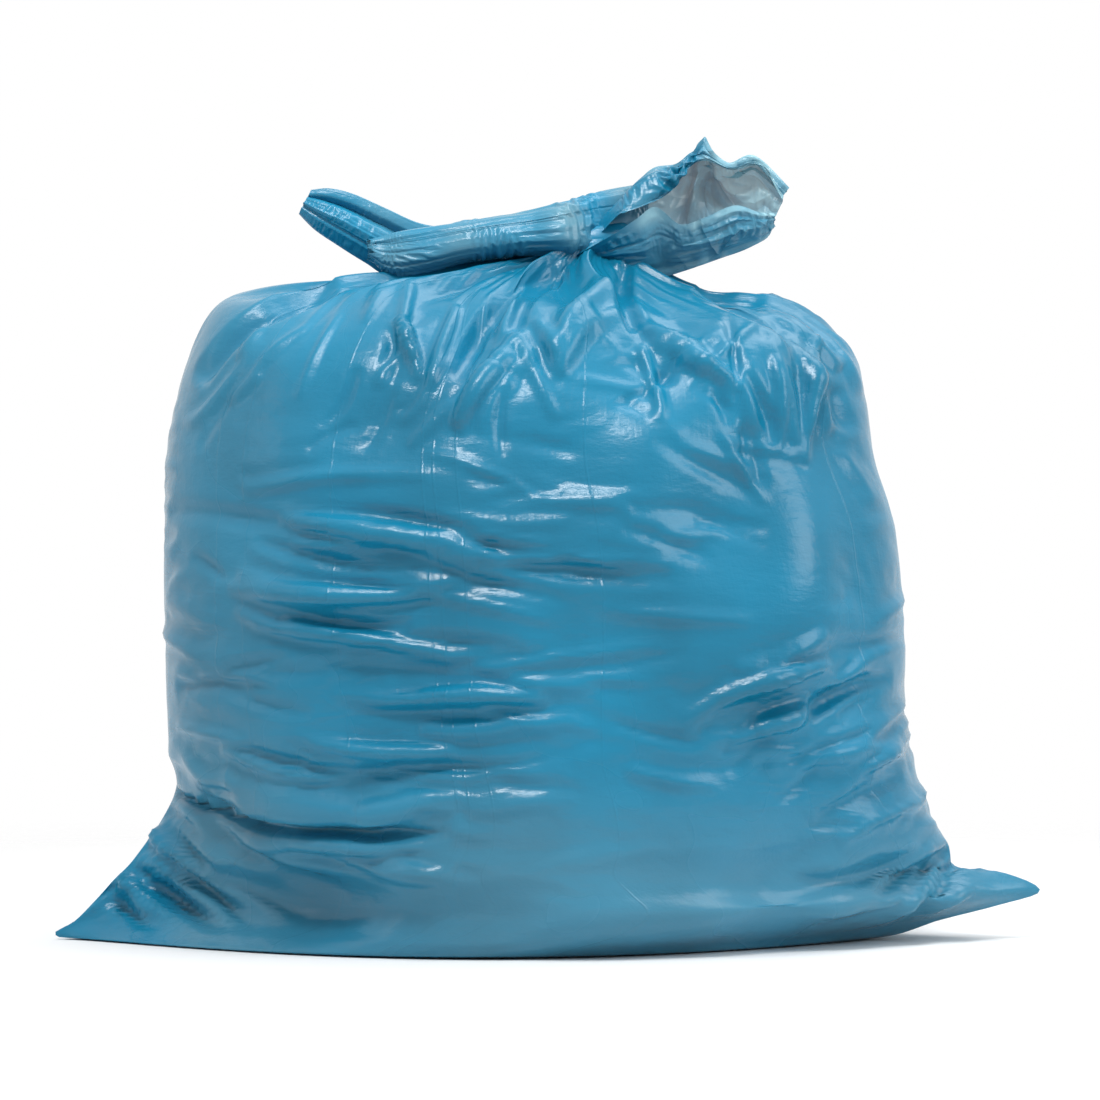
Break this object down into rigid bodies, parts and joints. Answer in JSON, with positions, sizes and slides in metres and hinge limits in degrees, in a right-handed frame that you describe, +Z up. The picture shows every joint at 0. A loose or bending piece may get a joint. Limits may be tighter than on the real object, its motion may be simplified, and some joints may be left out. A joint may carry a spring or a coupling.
{
  "type": "filled garbage bag",
  "caption": "Filled garbage bag of thin plastic film, tied shut with its own mouth over a gathered neck, with a slumped rounded body on a flat base and pointed bottom corners.",
  "frame": {"origin": "middle of the bounding box at floor level, on the flat base", "axes": "+Z up through the tied neck, +X towards the bottom corner that curls up and the wide ear, -Y towards the front, where the rolled band of the mouth crosses the knot"},
  "size_m": [0.6878, 0.3756, 0.5598],
  "materials": {
    "blue_film": "glossy, slightly translucent blue polythene film, about 30 microns thick, creased all over"
  },
  "bodies": {
    "root": {"garbage_bag": "blue_film"}
  },
  "joints": []
}
